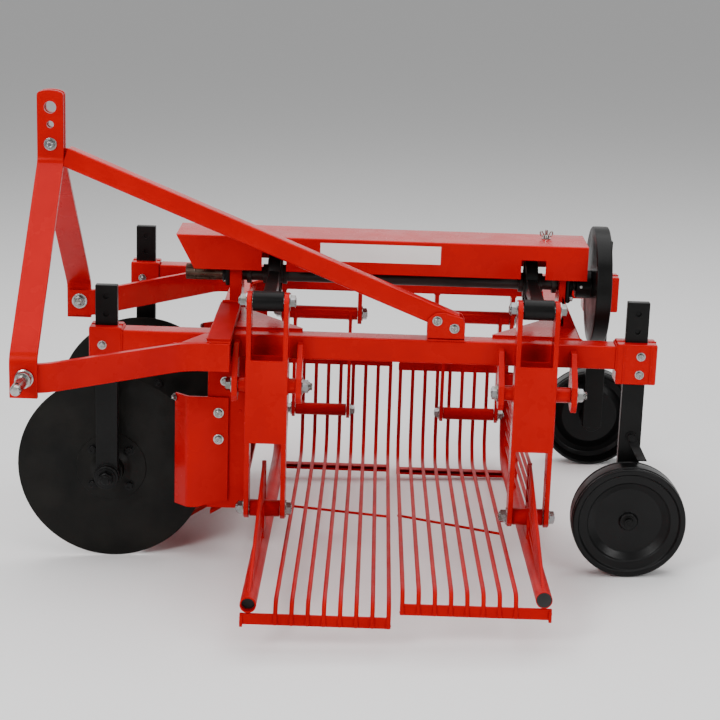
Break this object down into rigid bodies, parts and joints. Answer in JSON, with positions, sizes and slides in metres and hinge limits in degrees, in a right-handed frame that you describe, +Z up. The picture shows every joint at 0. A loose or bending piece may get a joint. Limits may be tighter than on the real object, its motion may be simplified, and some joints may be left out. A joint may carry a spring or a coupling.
{
  "type": "potato harvester",
  "caption": "Tractor-mounted potato harvester with an offset hitch, cutting discs, a share, shaken rod sieves on rocker arms, a covered drive shaft with flywheel, and gauge wheels.",
  "frame": {"origin": "centre of the bounding box's bottom, on the floor that the discs and gauge wheels stand on", "axes": "+X points rearward (travel is towards -X), +Y away from the discharge side, +Z up"},
  "size_m": [1.4264, 1.2303, 1.0227],
  "materials": {
    "red_paint": "glossy powder coat",
    "black_paint": "satin paint",
    "wheel_black": "satin",
    "zinc_plate": "zinc plated",
    "bare_steel": "bare machined steel"
  },
  "bodies": {
    "main_frame": {"near_beam": "red_paint", "far_beam": "red_paint", "front_cross_member": "red_paint", "rear_cross_member": "red_paint", "near_hitch_arm": "red_paint", "far_hitch_arm": "red_paint", "near_mast_leg": "red_paint", "far_mast_leg": "red_paint", "top_strut": "red_paint", "strut_bracket": "red_paint", "front_bearing_post": "red_paint", "rear_bearing_post": "red_paint", "shaft_cover": "red_paint", "near_disc_clamp": "red_paint", "far_disc_clamp": "red_paint", "near_wheel_clamp": "red_paint", "far_wheel_clamp": "red_paint", "near_share_leg": "red_paint", "far_share_leg": "red_paint", "near_guard": "red_paint", "far_guard": "red_paint", "share_blade": "red_paint", "front_bearing": "black_paint", "rear_bearing": "black_paint", "near_disc_stem": "black_paint", "far_disc_stem": "black_paint", "near_wheel_stem": "black_paint", "far_wheel_stem": "black_paint", "near_lower_pin": "zinc_plate", "far_lower_pin": "zinc_plate"},
    "shaft": {"drive_shaft": "bare_steel", "flywheel": "black_paint"},
    "front_near_disc": {"near_disc": "black_paint"},
    "front_far_disc": {"far_disc": "black_paint"},
    "rear_near_wheel": {"near_wheel": "wheel_black"},
    "rear_far_wheel": {"far_wheel": "wheel_black"},
    "left_rocker": {"left_rocker_arm": "red_paint"},
    "right_rocker": {"right_rocker_arm": "red_paint"},
    "left_sieve_frame": {"left_sieve": "red_paint"},
    "right_sieve_frame": {"right_sieve": "red_paint"},
    "left_link": {"left_far_link": "red_paint"},
    "right_link": {"right_far_link": "red_paint"},
    "left_rod": {"left_connecting_rod": "black_paint"},
    "right_rod": {"right_connecting_rod": "black_paint"}
  },
  "joints": [
    {"name": "shaft_spin", "type": "hinge", "parent": "main_frame", "child": "shaft", "pos_m": [0.52795, 0.0441, 0.57589], "axis": [0.9992, 0, -0.0389], "continuous": true},
    {"name": "near_disc_spin", "type": "hinge", "parent": "main_frame", "child": "front_near_disc", "pos_m": [-0.51034, -0.0709, 0.203], "axis": [0, 1, 0], "continuous": true},
    {"name": "far_disc_spin", "type": "hinge", "parent": "main_frame", "child": "front_far_disc", "pos_m": [-0.51034, 0.4691, 0.203], "axis": [0, 1, 0], "continuous": true},
    {"name": "near_wheel_spin", "type": "hinge", "parent": "main_frame", "child": "rear_near_wheel", "pos_m": [0.59327, -0.1859, 0.12], "axis": [0, 1, 0], "continuous": true},
    {"name": "far_wheel_spin", "type": "hinge", "parent": "main_frame", "child": "rear_far_wheel", "pos_m": [0.59327, 0.5841, 0.12], "axis": [0, 1, 0], "continuous": true},
    {"name": "left_rocker_swing", "type": "hinge", "parent": "main_frame", "child": "left_rocker", "pos_m": [-0.16061, -0.2019, 0.42056], "axis": [0.9992, 0, -0.0389], "range_deg": [-2.58, 2.58]},
    {"name": "right_rocker_swing", "type": "hinge", "parent": "main_frame", "child": "right_rocker", "pos_m": [0.39097, -0.2019, 0.39908], "axis": [-0.9992, 0, 0.0389], "range_deg": [-2.58, 2.58]},
    {"name": "left_sieve_shake", "type": "hinge", "parent": "left_rocker", "child": "left_sieve_frame", "pos_m": [-0.17104, -0.2019, 0.15276], "axis": [-0.9992, 0, 0.0389], "range_deg": [-2.58, 2.58]},
    {"name": "right_sieve_shake", "type": "hinge", "parent": "right_rocker", "child": "right_sieve_frame", "pos_m": [0.38054, -0.2019, 0.13129], "axis": [0.9992, 0, -0.0389], "range_deg": [-2.58, 2.58]},
    {"name": "left_link_swing", "type": "hinge", "parent": "main_frame", "child": "left_link", "pos_m": [-0.06627, 0.5281, 0.40187], "axis": [0.9992, 0, -0.0389], "range_deg": [-2.81, 2.81]},
    {"name": "right_link_swing", "type": "hinge", "parent": "main_frame", "child": "right_link", "pos_m": [0.29446, 0.5281, 0.38783], "axis": [-0.9992, 0, 0.0389], "range_deg": [-2.81, 2.81]},
    {"name": "left_rod_swing", "type": "hinge", "parent": "left_rocker", "child": "left_rod", "pos_m": [-0.15369, -0.2019, 0.59842], "axis": [-0.9992, 0, 0.0389], "range_deg": [-2.58, 2.58]},
    {"name": "right_rod_swing", "type": "hinge", "parent": "right_rocker", "child": "right_rod", "pos_m": [0.3979, -0.2019, 0.57695], "axis": [0.9992, 0, -0.0389], "range_deg": [-2.58, 2.58]}
  ],
  "couplings": [
    {"joint": "right_rocker_swing", "follows": "left_rocker_swing", "ratio": 1},
    {"joint": "left_sieve_shake", "follows": "left_rocker_swing", "ratio": 1},
    {"joint": "right_sieve_shake", "follows": "left_rocker_swing", "ratio": 1},
    {"joint": "left_link_swing", "follows": "left_rocker_swing", "ratio": 1.0894},
    {"joint": "right_link_swing", "follows": "left_rocker_swing", "ratio": 1.0894},
    {"joint": "left_rod_swing", "follows": "left_rocker_swing", "ratio": 1},
    {"joint": "right_rod_swing", "follows": "left_rocker_swing", "ratio": 1}
  ]
}
